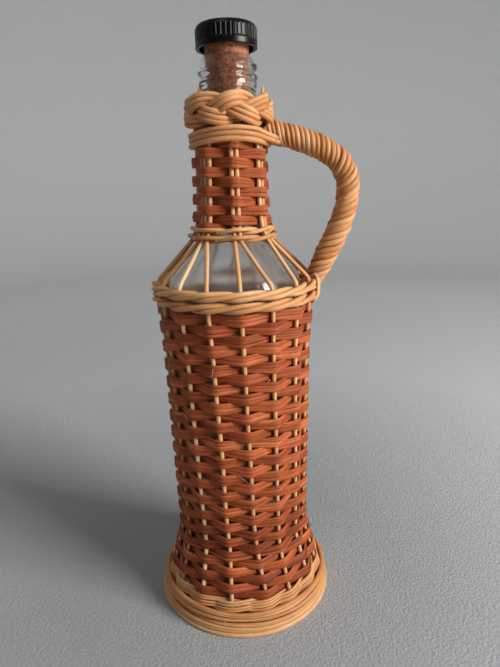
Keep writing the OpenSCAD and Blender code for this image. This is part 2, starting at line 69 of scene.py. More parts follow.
# Corners of the stakes' line: height, distance from the axis
STAKE_LINE = np.array([
    [0, 46.45], [10.15, 44.85], [14.75, 43.59], [43.33, 36.18], [150.57, 38.55], [177.6, 40.55],
    [189.3, 40.55], [209.7, 21.2], [215.95, 18.7], [223.09, 17.7], [236.57, 17.2],
    [254.14, 16.9], [263.75, 16.9]])
UP = np.array([0.0, 0.0, 1.0])


# ---------------------------------------------------------------- where the strands run
def unit(v):
    """Each vector of v at length one: v / |v|."""
    return v / np.linalg.norm(v, axis=-1, keepdims=True)


def ahead_of(path):
    """Direction of a path at each point: its gradient at length one."""
    return unit(np.gradient(path, axis=0))


def square_to(v, along):
    """The part of v that is square to `along`, v - (v . along) along, at length one."""
    return unit(v - (v * along).sum(1, keepdims=True) * along)


def turn_from(middle, a):
    """The turn from azimuth `middle` to a, from -180 to 180."""
    return (a - middle + 180) % 360 - 180


def stake_r(z):
    """Distance of the stakes from the axis at height z, by straight steps."""
    return np.interp(z, STAKE_LINE[:, 0], STAKE_LINE[:, 1])


def body_a(j, z):
    """Azimuth of stake j on the body: a sixteenth of a turn each, leaning with height. Near
    the foot one stake at the front is pushed round: a bell of 5 degrees over its azimuth."""
    pushed_a, width, push, twist = 18, 17, 5.2, 0.8
    start_z, reach = 62, 50
    a = (np.asarray(j) + 0.5) * 360 / STAKES + LEAN * (TOP_ROW - z) / ROW_SPAN
    low = np.clip((start_z - np.asarray(z)) / reach, 0, 1) ** 1.3
    return a + low * (push * np.exp(-(turn_from(pushed_a, a) / width) ** 2) + twist)


def first_of(g):
    """The first stake of group g: the stakes are shared as evenly as seven allow."""
    return math.ceil((STAKES * g - GROUPS + 1) / GROUPS)


def size_of(g):
    """How many stakes group g holds."""
    g = g % GROUPS
    return first_of(g + 1) - first_of(g)


def group_a(g):
    """Azimuth of the middle of group g."""
    return HANDLE_A + (g - 1.5) * 360 / GROUPS


def neck_step(z):
    """Angle between neighbouring stakes in a group: a stake's width and a gap at their
    radius."""
    gap = 0.2
    return np.degrees((2 * STAKE_R + gap) / stake_r(z))


def flank_a(g, side, z):
    """Azimuth of the left (side -1) or right (side 1) stake of group g."""
    return group_a(g) + side * (size_of(g) - 1) / 2 * neck_step(z)


def row_z(k):
    """Height of row k: equal steps less a cubic term that closes the rows towards the foot."""
    x = k / (ROWS - 1)
    return TOP_ROW - ROW_SPAN * ((1 + ROW_BEND) * x - ROW_BEND * x ** 3)


def row_pitch(k):
    """Height of one row at row k, the slope of row_z."""
    x = k / (ROWS - 1)
    return ROW_SPAN / (ROWS - 1) * (1 + ROW_BEND - 3 * ROW_BEND * x ** 2)


def outward(a, z):
    """Direction square to the stakes at azimuth a and height z: (sin a, -cos a, -dr/dz)."""
    slope = stake_r(z + 0.5) - stake_r(z - 0.5)
    q = np.radians(a)
    return unit(np.stack([np.sin(q), -np.cos(q), -slope + 0 * q], -1))


def upward(a, z):
    """Direction along the stakes: (dr/dz sin a, -dr/dz cos a, 1)."""
    slope = stake_r(z + 0.5) - stake_r(z - 0.5)
    q = np.radians(a)
    return unit(np.stack([slope * np.sin(q), -slope * np.cos(q), 1 + 0 * q], -1))


def at(a, r, z):
    """Point at azimuth a, distance r and height z: (r sin a, -r cos a, z)."""
    q = np.radians(a)
    return np.stack([r * np.sin(q), -r * np.cos(q), z + 0 * q], -1)


def on_cover(a, z, out, up):
    """Point beside the stakes' surface, `out` of it and `up` along it, and its outward way."""
    o = outward(a, z)
    return at(a, stake_r(z), z) + out[:, None] * o + up[:, None] * upward(a, z), o


def refine(stations, per, soft, trim=0):
    """Straight steps between stations, `per` to each, then a running mean that rounds the
    corners: weights exp(-(d / soft)^2), with the ends carried on by point reflection. `trim`
    stations are then cut from each end."""
    stations = np.asarray(stations, float)
    n = len(stations)
    x = np.arange((n - 1) * per + 1) / per
    grid = np.stack([np.interp(x, np.arange(n), c) for c in stations.T], 1)
    reach = int(2.5 * soft) + 1
    weight = np.exp(-(np.arange(-reach, reach + 1) / soft) ** 2)
    weight /= weight.sum()
    before = 2 * grid[0] - grid[reach:0:-1]
    after = 2 * grid[-1] - grid[-2:-reach - 2:-1]
    full = np.concatenate([before, grid, after])
    grid = np.stack([np.convolve(c, weight, "valid") for c in full.T], 1)
    return grid[trim * per:len(grid) - trim * per]


def laced(a, z, front, over, under, per, soft):
    """A flat weaver through stations at azimuths a and heights z: `over` outside the stakes'
    line where it is in front, `under` inside it elsewhere. Gives its points, its outward
    directions and how far it is in front, from 0 to 1."""
    p, o = on_cover(a, z, np.where(front, over, -under), 0 * a)
    table = refine(np.concatenate([p, o, (front * 1.0)[:, None]], 1), per, soft, 2)
    return table[:, :3], unit(table[:, 3:6]), table[:, 6]


def ripple(x, size, waves=(1, 2, 3, 5)):
    """A slow wander that closes once x has grown by the number of stakes: a sum of sines with
    chance phases and shares."""
    phase = chance.uniform(0, 2 * math.pi, len(waves))
    share = chance.normal(0, 1, len(waves)) / math.sqrt(len(waves))
    return size * sum(s * np.sin(2 * math.pi * w * x / STAKES + p)
                      for w, p, s in zip(waves, phase, share))


# ---------------------------------------------------------------- skins and pieces
def strand(path, out, half_t, half_w, tone=0.5, sides=10, square=0.0):
    """A closed strand: at each point an oval of half sizes half_t along `out` and half_w
    across it. `square` draws the oval towards a flat band, as |cos|^(1-square)."""
    n = len(path)
    along = ahead_of(path)
    v = square_to(out, along)
    w = np.cross(along, v)
    q = 2 * math.pi * (np.arange(sides) + 0.5) / sides
    c, s = np.cos(q), np.sin(q)
    c = np.sign(c) * np.abs(c) ** (1 - square)
    half_t = np.broadcast_to(half_t, n)
    half_w = np.broadcast_to(half_w, n)
    rings = (path[:, None]
             + half_t[:, None, None] * c[None, :, None] * v[:, None]
             + half_w[:, None, None] * s[None, :, None] * w[:, None])
    length = np.concatenate([[0], np.cumsum(np.linalg.norm(np.diff(path, axis=0), axis=1))])
    girth = math.pi * (half_t.mean() + half_w.mean())
    start, map_step = chance.uniform(0, 40), 10
    return {"points": rings.reshape(-1, 3), "n": n, "m": sides, "tone": tone,
            "u": length / map_step + start,
            "v": np.arange(sides + 1) / sides * girth / map_step + start}


def skin_loops(s, first):
    """Corner numbers, face sizes and map places of a strand's sides and its two flat ends."""
    n, m = s["n"], s["m"]
    i, k = np.meshgrid(np.arange(n - 1), np.arange(m), indexing="ij")
    k1 = (k + 1) % m
    quads = np.stack([i * m + k, i * m + k1, (i + 1) * m + k1, (i + 1) * m + k], -1)
    maps = np.stack([np.stack([s["u"][i], s["v"][k]], -1),
                     np.stack([s["u"][i], s["v"][k + 1]], -1),
                     np.stack([s["u"][i + 1], s["v"][k + 1]], -1),
                     np.stack([s["u"][i + 1], s["v"][k]], -1)], -2)
    ends = [np.arange(m)[::-1], (n - 1) * m + np.arange(m)]
    end_maps = [np.stack([np.full(m, s["u"][e]), s["v"][:m]], -1) for e in (0, -1)]
    loops = np.concatenate([quads.ravel(), *ends]) + first
    sizes = np.concatenate([np.full((n - 1) * m, 4), [m, m]])
    return loops, sizes, np.concatenate([maps.reshape(-1, 2), *end_maps])


def make_mesh(name, points, loops, sizes, maps=None, tones=None):
    """A smooth mesh from its points in millimetres and its faces' corner numbers and counts,
    with its map and the tone of each point where they are given."""
    mesh = bpy.data.meshes.new(name)
    mesh.vertices.add(len(points))
    mesh.vertices.foreach_set("co", (points * MM).astype(np.float32).ravel())
    mesh.loops.add(len(loops))
    mesh.loops.foreach_set("vertex_index", loops.astype(np.int32))
    mesh.polygons.add(len(sizes))
    starts = np.concatenate([[0], np.cumsum(sizes)[:-1]])
    mesh.polygons.foreach_set("loop_start", starts.astype(np.int32))
    mesh.polygons.foreach_set("use_smooth", np.full(len(sizes), True))
    mesh.update(calc_edges=True)
    if maps is not None:
        layer = mesh.uv_layers.new(name="along")
        layer.data.foreach_set("uv", maps.astype(np.float32).ravel())
    if tones is not None:
        mesh.attributes.new("tone", "FLOAT", "POINT").data.foreach_set(
            "value", tones.astype(np.float32))
    mesh.validate()
    return mesh


def place(name, mesh, material, nodes=(), body="bottle"):
    """The finished piece, at the origin, riding on its body and standing for its solids."""
    piece = bpy.data.objects.new(name, mesh)
    bpy.context.scene.collection.objects.link(piece)
    mesh.materials.append(material)
    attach(piece, body)
    if nodes:
        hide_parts(*nodes)
    return piece


def cane_piece(name, strands, material, slot, *nodes):
    """One piece from several strands, that stands for the named solids."""
    counts = [len(s["points"]) for s in strands]
    skins = [skin_loops(s, sum(counts[:i])) for i, s in enumerate(strands)]
    loops, sizes, maps = (np.concatenate(part) for part in zip(*skins))
    tones = np.repeat([s["tone"] for s in strands], counts)
    points = np.concatenate([s["points"] for s in strands])
    mesh = make_mesh(name, points, loops, sizes, maps, tones)
    return place(name, mesh, material, nodes)


def turned(name, profile, columns, lift):
    """A profile (r, z) from the axis back to the axis, turned once round, with
    lift(angle, r, z) added to the radius."""
    inner = profile[1:-1]
    rows = len(inner)
    q = 2 * math.pi * np.arange(columns) / columns
    r = inner[None, :, 0] + lift(q[:, None], inner[None, :, 0], inner[None, :, 1])
    z = np.broadcast_to(inner[:, 1][None], (columns, rows))
    grid = np.stack([r * np.sin(q)[:, None], -r * np.cos(q)[:, None], z], -1).reshape(-1, 3)
    poles = np.array([[0, 0, profile[0, 1]], [0, 0, profile[-1, 1]]])
    points = np.concatenate([grid, poles])
    i, k = np.meshgrid(np.arange(columns), np.arange(rows - 1), indexing="ij")
    i1 = (i + 1) % columns
    quads = np.stack([i * rows + k, i1 * rows + k, i1 * rows + k + 1, i * rows + k + 1], -1)
    c = np.arange(columns)
    c1 = (c + 1) % columns
    low = np.stack([c1 * rows, c * rows, np.full(columns, columns * rows)], -1)
    high = np.stack([c * rows + rows - 1, c1 * rows + rows - 1,
                     np.full(columns, columns * rows + 1)], -1)
    loops = np.concatenate([quads.ravel(), low.ravel(), high.ravel()])
    sizes = np.concatenate([np.full(len(quads.reshape(-1, 4)), 4), np.full(2 * columns, 3)])
    return make_mesh(name, points, loops, sizes)


def rounded(corners, steps=8):
    """A path through corners (x, y, radius), each rounded by an arc that touches both sides."""
    path = []
    for i, (x, y, radius) in enumerate(corners):
        p = np.array([x, y], float)
        if radius == 0:
            path.append(p[None])
            continue
        u = np.array(corners[i - 1][:2]) - p
        w = np.array(corners[i + 1][:2]) - p
        u, w = u / np.linalg.norm(u), w / np.linalg.norm(w)
        half = math.acos(float(u @ w)) / 2
        centre = p + (u + w) / np.linalg.norm(u + w) * radius / math.sin(half)
        start = p + u * radius / math.tan(half) - centre
        end = p + w * radius / math.tan(half) - centre
        sweep = math.atan2(start[0] * end[1] - start[1] * end[0], start @ end)
        t = np.linspace(0, sweep, steps)
        path.append(centre + np.stack([start[0] * np.cos(t) - start[1] * np.sin(t),
                                       start[0] * np.sin(t) + start[1] * np.cos(t)], 1))
    return np.concatenate(path)


def filled(path, step):
    """The same path with points added so that no step is longer than `step`."""
    out = [path[:1]]
    for a, b in zip(path[:-1], path[1:]):
        count = max(1, math.ceil(np.linalg.norm(b - a) / step))
        out.append(a + (b - a) * (np.arange(1, count + 1) / count)[:, None])
    return np.concatenate(out)


# ---------------------------------------------------------------- materials
def tint(r, g, b, a=1.0):
    """A colour written as it looks on screen, turned into linear light."""
    def linear(c):
        return c / 12.92 if c <= 0.04045 else ((c + 0.055) / 1.055) ** 2.4
    return (linear(r), linear(g), linear(b), a)


class Finish:
    """A material's node tree, with short ways to add and join nodes."""

    def __init__(self, name):
        self.material = bpy.data.materials.new(name)
        self.material.use_nodes = True
        self.tree = self.material.node_tree
        self.shader = self.tree.nodes["Principled BSDF"]

    def add(self, kind, **values):
        """A node with its inputs set by name, and its settings by _name."""
        node = self.tree.nodes.new(kind)
        for key, value in values.items():
            if key[0] == "_":
                setattr(node, key[1:], value)
            else:
                node.inputs[key.replace("_", " ")].default_value = value
        return node

    def join(self, source, target):
        """A link from an output to an input."""
        self.tree.links.new(source, target)

    def noise(self, vector, scale, detail=3.0, rough=0.5):
        """Cloudy noise from 0 to 1."""
        node = self.add("ShaderNodeTexNoise", Scale=scale, Detail=detail, Roughness=rough)
        self.join(vector, node.inputs["Vector"])
        return node.outputs["Fac"]

    def stretched(self, uv, along, across):
        """A strand's map with its own scale along the grain and across it."""
        node = self.add("ShaderNodeMapping", Scale=(along, across, 1.0))
        self.join(uv, node.inputs["Vector"])
        return node.outputs["Vector"]

    def sum(self, a, b, share_b):
        """a + share_b * (b - 0.5)"""
        node = self.add("ShaderNodeMath", _operation="MULTIPLY_ADD")
        self.join(b, node.inputs[0])
        node.inputs[1].default_value = share_b
        lower = self.add("ShaderNodeMath", _operation="SUBTRACT")
        self.join(a, lower.inputs[0])
        lower.inputs[1].default_value = share_b / 2
        self.join(lower.outputs[0], node.inputs[2])
        return node.outputs[0]

    def ramp(self, value, stops):
        """A colour band over a value, from its places and colours."""
        node = self.add("ShaderNodeValToRGB")
        band = node.color_ramp
        while len(band.elements) < len(stops):
            band.elements.new(0.5)
        for element, (level, colour) in zip(band.elements, stops):
            element.position = level
            element.color = colour
        self.join(value, node.inputs["Fac"])
        return node.outputs["Color"]

    def bump(self, height, strength, distance):
        """Relief too fine for the mesh, its distance in metres."""
        node = self.add("ShaderNodeBump", Strength=strength, Distance=distance)
        self.join(height, node.inputs["Height"])
        self.join(node.outputs["Normal"], self.shader.inputs["Normal"])


def cane(name, stops, streak, mottle, relief, rough):
    """Split cane: each strand has its own tone, with long streaks along its grain, slow
    cloudy changes and fine grooves."""
    f = Finish(name)
    uv = f.add("ShaderNodeUVMap", _uv_map="along").outputs["UV"]
    where = f.add("ShaderNodeTexCoord").outputs["Object"]
    tone = f.add("ShaderNodeAttribute", _attribute_name="tone").outputs["Fac"]
    long_streak = f.noise(f.stretched(uv, 0.55, 11), 1.0, 4.0, 0.65)
    fibre = f.noise(f.stretched(uv, 1.6, 42), 1.0, 3.0, 0.65)
    cloud = f.noise(where, 90.0, 2.0)
    value = f.sum(f.sum(f.sum(tone, long_streak, streak), fibre, streak * 0.55), cloud, mottle)
    f.join(f.ramp(value, stops), f.shader.inputs["Base Color"])
    f.bump(f.sum(long_streak, fibre, 0.9), relief, 0.00025)
    gloss = f.add("ShaderNodeMapRange", To_Min=rough - 0.08, To_Max=rough + 0.12)
    f.join(fibre, gloss.inputs["Value"])
    f.join(gloss.outputs[0], f.shader.inputs["Roughness"])
    f.shader.inputs["Specular IOR Level"].default_value = 0.3
    return f.material


def cork_finish():
    """Stained cork: fine grain, dark pits and flecks."""
    f = Finish("stained_cork")
    where = f.add("ShaderNodeTexCoord").outputs["Object"]
    grain = f.noise(where, 900.0, 4.0, 0.65)
    cloud = f.noise(where, 160.0, 2.0)
    cells = f.add("ShaderNodeTexVoronoi", Scale=520.0)
    f.join(where, cells.inputs["Vector"])
    pits = f.add("ShaderNodeMapRange", From_Min=0.05, From_Max=0.32)
    f.join(cells.outputs["Distance"], pits.inputs["Value"])
    value = f.sum(f.sum(grain, cloud, 0.5), pits.outputs[0], 0.45)
    f.join(f.ramp(value, [(0.15, tint(0.17, 0.07, 0.03)), (0.42, tint(0.42, 0.20, 0.11)),
                          (0.62, tint(0.55, 0.30, 0.17)), (0.85, tint(0.70, 0.45, 0.28))]),
           f.shader.inputs["Base Color"])
    f.bump(value, 0.5, 0.0004)
    f.shader.inputs["Roughness"].default_value = 0.75
    return f.material


def glass_finish():
    """Clear flint glass, clean at the mouth and clouded by handling and age on the body: its
    roughness falls from the foot of the neck to the collar."""
    f = Finish("clear_glass")
    f.shader.inputs["Base Color"].default_value = (0.965, 0.965, 0.95, 1)
    f.shader.inputs["IOR"].default_value = 1.45
    f.shader.inputs["Transmission Weight"].default_value = 1.0
    where = f.add("ShaderNodeTexCoord").outputs["Object"]
    height = f.add("ShaderNodeSeparateXYZ")
    f.join(where, height.inputs[0])
    haze = f.add("ShaderNodeMapRange", From_Min=0.21, From_Max=0.27, To_Min=0.17, To_Max=0.07)
    f.join(height.outputs["Z"], haze.inputs["Value"])
    f.join(haze.outputs[0], f.shader.inputs["Roughness"])
    f.bump(f.noise(where, 60.0, 1.0), 0.02, 0.0001)
    return f.material


def cap_finish():
    """Glossy black moulded plastic with a faint haze of handling."""
    f = Finish("black_plastic")
    where = f.add("ShaderNodeTexCoord").outputs["Object"]
    haze = f.noise(where, 400.0, 3.0)
    f.join(f.ramp(haze, [(0.35, tint(0.015, 0.015, 0.017)), (0.75, tint(0.03, 0.03, 0.034))]),
           f.shader.inputs["Base Color"])
    gloss = f.add("ShaderNodeMapRange", To_Min=0.26, To_Max=0.34)
    f.join(haze, gloss.inputs["Value"])
    f.join(gloss.outputs[0], f.shader.inputs["Roughness"])
    f.bump(f.noise(where, 1500.0, 2.0), 0.03, 0.0001)
    f.shader.inputs["Specular IOR Level"].default_value = 0.22
    return f.material


dyed = cane("dyed_cane", [(0.08, tint(0.34, 0.14, 0.05)), (0.36, tint(0.55, 0.245, 0.105)),
                          (0.6, tint(0.70, 0.35, 0.175)), (0.9, tint(0.86, 0.565, 0.345))],
            0.7, 0.32, 0.8, 0.52)
pale = cane("pale_cane", [(0.05, tint(0.50, 0.28, 0.13)), (0.35, tint(0.72, 0.47, 0.27)),
                          (0.65, tint(0.83, 0.61, 0.41)), (0.95, tint(0.91, 0.77, 0.59))],
            0.55, 0.36, 0.65, 0.46)
cork_look = cork_finish()
glass_look = glass_finish()
cap_look = cap_finish()


def shade(middle, spread=0.12):
    """A strand's own place between dark and light, by chance about the middle."""
    return float(np.clip(chance.normal(middle, spread), 0.02, 0.98))


# ---------------------------------------------------------------- glass, cork and cap
def glass_bottle():
    """The glass as one turned wall. Its mouth has a screw thread: the radius grows by a ridge
    that climbs 4.7 mm a turn and fades at both of its ends."""
    wall, base_t, hollow, bore_r, mouth_h = 2.6, 5.0, 2, 10.86, 15
    foot_r, neck_foot_r = BODY_R - BODY_TAPER, NECK_R + 1.9
    cone = np.array([-(BODY_R - NECK_R), NECK_Z - SHOULDER_Z])
    cone /= np.linalg.norm(cone)
    # How far the inside's corners at the shoulder lie below the outside's
    lower = wall * (1 - cone[0]) / cone[1] - wall
    outer = rounded([
        [0, GLASS_Z + hollow, 0], [18, GLASS_Z + hollow, 6], [22, GLASS_Z, 2],
        [foot_r, GLASS_Z, 6], [BODY_R, SHOULDER_Z, 22], [neck_foot_r, NECK_Z, 12],
        [NECK_R + 0.7, NECK_LOW + 4.5, 0], [NECK_R + 0.2, NECK_LOW + 18, 0],
        [NECK_R, WIND_LOW, 0], [NECK_R, 281.0, 0], [NECK_R + 0.55, RIM_Z - 13.4, 0.5],
        [NECK_R + 0.5, RIM_Z - 11.4, 0.5], [13.3, RIM_Z - 10.6, 0.5], [13.2, RIM_Z - 4.4, 2],
        [12.4, RIM_Z, 1.1], [10.9, RIM_Z, 0.35], [bore_r, RIM_Z - 2, 0]], 10)
    inner = rounded([
        [bore_r, RIM_Z - 25.6, 0], [NECK_R - wall, RIM_Z - 35.6, 3],
        [neck_foot_r - wall, NECK_Z - lower, 12], [BODY_R - wall, SHOULDER_Z - lower, 19],
        [foot_r - wall, GLASS_Z + base_t, 5], [24, GLASS_Z + base_t, 3],
        [19, GLASS_Z + base_t + 1, 3], [0, GLASS_Z + base_t + 1, 0]], 10)
    mouth = outer[:, 1] > RIM_Z - mouth_h
    profile = np.concatenate([filled(outer[~mouth], 4.0), filled(outer[mouth], 0.35), inner])

    def thread(q, r, z):
        """Height of the ridge: 1.4 exp(-(|dz| / 1.2)^2.6) across it, dz being the height
        above the thread's line, and a straight rise and fall at its ends."""
        start, pitch, turns, height, half, lead_in = RIM_Z - 3.6, 4.7, 1.75, 1.4, 1.2, 0.12
        ridge = 0
        for turn in range(3):
            along = q / (2 * math.pi) + turn
            fade = np.clip(along / lead_in, 0, 1) * np.clip((turns - along) / lead_in, 0, 1)
            away = np.abs(z - start + pitch * along) / half
            ridge = ridge + height * fade * np.exp(-away ** 2.6)
        return np.where((r > 12.9) & (z > RIM_Z - 14), ridge, 0)

    mesh = turned("glass", profile, 192, thread)
    return place("glass", mesh, glass_look, ["glass_bottle"])


def cork():
    """The cork: a turned plug with broken edges and a worn, faintly uneven side."""
    low, top, edge = RIM_Z - 19.6, CAP_TOP - 1.45, 0.4
    profile = filled(rounded([
        [0, low, 0], [CORK_R - 0.1, low, 0.8], [CORK_R, low + 3, 0], [CORK_R, top - edge, 0],
        [CORK_R - edge, top, 0], [0, top, 0]]), 1.0)

    def wear(q, r, z):
        """Wear of 0 to 0.1 mm: 0.05 (1 + sin(5q + z) sin(3z + 2q)) off the radius."""
        return np.where(r > 10, -0.05 * (1 + np.sin(5 * q + z) * np.sin(3 * z + 2 * q)), 0)

    mesh = turned("cork_plug", profile, 96, wear)
    return place("cork_plug", mesh, cork_look, ["cork"], "stopper")


def cap():
    """The cap: a turned shell open below, with forty narrow grooves above a plain skirt."""
    grooves, depth, skirt, wall = 40, 0.38, 2.6, 1.4
    side, socket_r = CAP_R - depth, CORK_R + 0.06
    socket_z, inside_z = CAP_TOP - wall - 4, CAP_TOP - wall
    profile = filled(rounded([
        [0, CAP_TOP, 0], [side, CAP_TOP, 1.6], [side, CAP_Z + skirt + 0.1, 0.1],
        [CAP_R, CAP_Z + skirt - 0.1, 0.15], [CAP_R, CAP_Z, 0.3], [side - wall, CAP_Z, 0.3],
        [side - wall, socket_z, 1.0], [socket_r, socket_z, 0], [socket_r, inside_z, 0],
        [0, inside_z, 0]], 7)[::-1], 0.5)

    def lands(q, r, z):
        """Height of the lands between the grooves. The grooves lie where cos(40 q) is above
        0.62, and the lands fade in over the skirt and the round edge."""
        rise = np.clip((z - CAP_Z - skirt) / 0.3, 0, 1) * np.clip((CAP_TOP - 1.3 - z) / 0.8, 0, 1)
        cut = np.clip((np.cos(grooves * q) - 0.62) / 0.25, 0, 1)
        return np.where(r > side - 0.3, (depth - 0.03) * rise * (1 - cut), 0)

    mesh = turned("cap_shell", profile, grooves * 16, lands)
    return place("cap_shell", mesh, cap_look, ["cap"], "stopper")


# ---------------------------------------------------------------- the cover
def row_tilt(a, z):
    """How far the rows wander up or down: slow sines round the cover, with a dip at the front
    and a rise at the right in the lower half, and nothing at the first and last rows."""
    x = (TOP_ROW - z) / ROW_SPAN
    q = np.radians(a)
    fade = np.clip(x * 6, 0, 1) * np.clip((1.06 - x) * 6, 0, 1)
    low = np.clip((x - 0.45) / 0.5, 0, 1)
    dip_a, dip_width, rise_a, rise_width = 22, 20, 78, 34
    return fade * (0.3 * np.sin(2 * q + 1.0 + 3 * x) + 0.22 * np.sin(3 * q + 7 * x)
                   + 0.35 * np.sin(q - 0.2)
                   - 0.9 * low * np.exp(-(turn_from(dip_a, a) / dip_width) ** 2)
                   + 1.7 * low * np.exp(-(turn_from(rise_a, a) / rise_width) ** 2))


def flat_row(path, out, half_h, thick, parts, middle):
    """A flat band of a few split strands lying side by side. Each keeps its share of the
    band's height, wanders a little and lies slightly over its neighbour."""
    overlap, wander, lap_over = 1.18, 0.09, 0.12
    x = np.linspace(0, STAKES, len(path))
    across = unit(np.cross(ahead_of(path), out))
    share = chance.uniform(0.75, 1.25, parts)
    share /= share.sum()
    middles = 2 * np.cumsum(share) - share - 1
    strands = []
    for i in range(parts):
        half = half_h * share[i] * overlap
        shift = np.clip(middles[i] + ripple(x, wander), -1 + share[i], 1 - share[i]) * half_h
        lap = ripple(x, 0.1) + lap_over * (i % 2)
        strands.append(strand(path + across * shift[:, None] + out * lap[:, None], out,
                              thick / 2 * chance.uniform(0.85, 1.05), half,
                              shade(middle, 0.075), sides=12, square=0.35))
    return strands


def body_row(k):
    """One row of the body: straight in plan from the front of a stake to the back of the
    next, creased over each stake, and drawn in where it passes behind. Its height is half the
    pitch and a little more in front, and a little less low down at the right."""
    z0, pitch = row_z(k), row_pitch(k)
    j = STAKES / 2 + (k + 1) % 2 + np.arange(-2, STAKES + 3)
    path, out, show = laced(body_a(j, z0), np.full(len(j), z0), (j + k) % 2 == 0, PASS,
                            PASS - 0.1, 10, 1.5)
    angle = np.degrees(np.arctan2(path[:, 0], -path[:, 1]))
    path[:, 2] += row_tilt(angle, z0) - 0.2 * (show - 0.5)
    slack_a, slack_width, slack_top, slack_reach = 62, 30, 90, 60
    slack = (np.exp(-((angle - slack_a) / slack_width) ** 2)
             * np.clip((slack_top - z0) / slack_reach, 0, 1))
    half_h = (pitch * (0.5 + 0.085 * show) * chance.uniform(0.97, 1.02)
              * (1 - 0.04 * slack) * (1 + ripple(np.linspace(0, STAKES, len(angle)), 0.02)))
    parts = int(chance.choice([2, 3, 3, 4]))
    keep = slice(2, -2)
    return flat_row(path[keep], out[keep], half_h[keep], BAND_T, parts, shade(0.46, 0.055))


def weave():
    """The rows of the body, three to a piece as in the solids."""
    each = 3
    for b in range(ROWS // each):
        rows = [s for k in range(each * b, each * b + each) for s in body_row(k)]
        cane_piece(f"dyed_rows_{b + 1:02d}", rows, dyed, "dyed_cane", f"weave_{b + 1:02d}")


def neck_weave():
    """The weave of the neck: one flat weaver that starts under the collar's wound rods and
    goes round on its way down, in front of every second group. It has two stations to a
    group, one at each flank, and runs on for `extra` of them at both ends."""
    count, extra = int(2 * GROUPS * NECK_TURNS), 14
    i = np.arange(-extra, count + extra + 1)
    g = NECK_START + i // 2
    z = NECK_HIGH - i / count * NECK_TURNS * NECK_ROW
    a = np.array([flank_a(gg, -1 if ii % 2 == 0 else 1, zz) for ii, gg, zz in zip(i, g, z)])
    path, out, show = laced(a, z, g % 2 == 0, NECK_PASS, PASS, 9, 1.6)
    strands = flat_row(path, out, NECK_ROW * (0.455 + 0.1 * show), BAND_T, 3, 0.42)
    cane_piece("dyed_rows_neck", strands, dyed, "dyed_cane", "neck_weave")


def stakes():
    """Each stake: up the body, over the shoulder and into its group at the neck, a little
    slimmer than its solid and faintly wavy."""
    slim = 0.87
    body_z = np.array([0.6, 5, 10.15, 14.75, 20, 26, 34, 43.3, 60, 80, 115, 150.6, 177.6, 188.9])
    neck_z = np.array([209.7, 210.3, 215.95, 223.1, 236.6, 254.1, STAKE_TOP])
    z = np.concatenate([body_z, neck_z])
    for n in range(STAKES):
        g = next(g for g in range(GROUPS) if first_of(g) <= n < first_of(g + 1))
        neck_a = group_a(g) + (n - first_of(g) - (size_of(g) - 1) / 2) * neck_step(neck_z)
        a = np.concatenate([body_a(n, body_z), neck_a])
        path = refine(filled(at(a, stake_r(z), z), 1.4), 1, 1.6)
        q = np.arctan2(path[:, 0], -path[:, 1])
        side = np.stack([np.cos(q), np.sin(q), 0 * q], 1)
        x = np.linspace(0, STAKES, len(path))
        path += side * ripple(x, 0.1)[:, None]
        half = STAKE_R * slim * (1 + ripple(x, 0.04, (2, 3, 5, 7)))
        s = strand(path, side, half, half, shade(0.62, 0.1), sides=12)
        cane_piece(f"stake_rod_{n + 1:02d}", [s], pale, "pale_cane", f"stake_{n + 1:02d}")


def twined(z, turns, outs, ups, out, rise, d, starts, middle, pair=0.0):
    """Strands that twine round the stakes at height z and close on themselves. A strand steps
    out and up by its tables, one entry to each half stake, beginning at its own start. With
    `pair`, each is two strands that lie that far above and below its line."""
    made = []
    for q in starts:
        i = np.arange(-3, 2 * STAKES * turns + 4)
        h = (i + q) % len(outs)
        steps = [body_a(STAKES / 2 + i / 2, z), out * np.asarray(outs)[h],
                 rise * np.asarray(ups)[h]]
        table = refine(np.stack(steps, 1), 6, 2.2, 3)
        x = np.linspace(0, STAKES, len(table))
        for side in ([-1, 1] if pair else [0]):
            up = table[:, 2] + side * pair + ripple(x, 0.1 + 0.25 * pair)
            p, o = on_cover(table[:, 0], np.full(len(table), z), table[:, 1] + ripple(x, 0.07), up)
            half = d / 2 * (1 + ripple(x, 0.03))
            made.append(strand(p, o, half, half, shade(middle, 0.09), sides=12))
    return made


def bands():
    """Twining above the foot, waling at the shoulder, twining at the foot of the neck. The
    neck's has three stations to a group: the gap before it and its two flanks."""
    for z, level in zip(TWINE_Z, ("lower", "upper")):
        s = twined(z, 1, [1, 0, -1, 0], [0, 1, 0, -1], TWINE_OUT, TWINE_RISE, TWINE_D * 0.97,
                   (0, 2), 0.62, pair=0.74)
        cane_piece(f"foot_twining_{level}", s, pale, "pale_cane", f"foot_twine_{level}")
    for z, level in zip(WALE_Z, ("lower", "upper")):
        s = twined(z, 3, [1, 1.05, 1, 0, -1, 0], [-1, 0, 1, 1, 0, -1], WALE_OUT, WALE_RISE,
                   WALE_D * 1.06, (0,), 0.56)
        cane_piece(f"shoulder_waling_{level}", s, pale, "pale_cane", f"shoulder_wale_{level}")
    for z, level in zip(BAND_Z, ("lower", "upper")):
        i = np.arange(-3, 6 * GROUPS + 4)
        g = i // 3
        side = np.where(g % 2 == 0, 1, -1)
        a = np.array([group_a(gg - 0.5) if ii % 3 == 0
                      else flank_a(gg, -1 if ii % 3 == 1 else 1, z) for ii, gg in zip(i, g)])
        between = i % 3 == 0
        table = refine(np.stack([a, np.where(between, 0, side * BAND_OUT),
                                 np.where(between, -side * BAND_RISE, 0)], 1), 7, 2.4, 3)
        p, o = on_cover(table[:, 0], np.full(len(table), z), table[:, 1], table[:, 2])
        s = strand(p, o, BAND_D * 0.56, BAND_D * 0.58, shade(0.55, 0.06), sides=12)
        cane_piece(f"neck_twining_{level}", [s], pale, "pale_cane", f"neck_band_{level}")


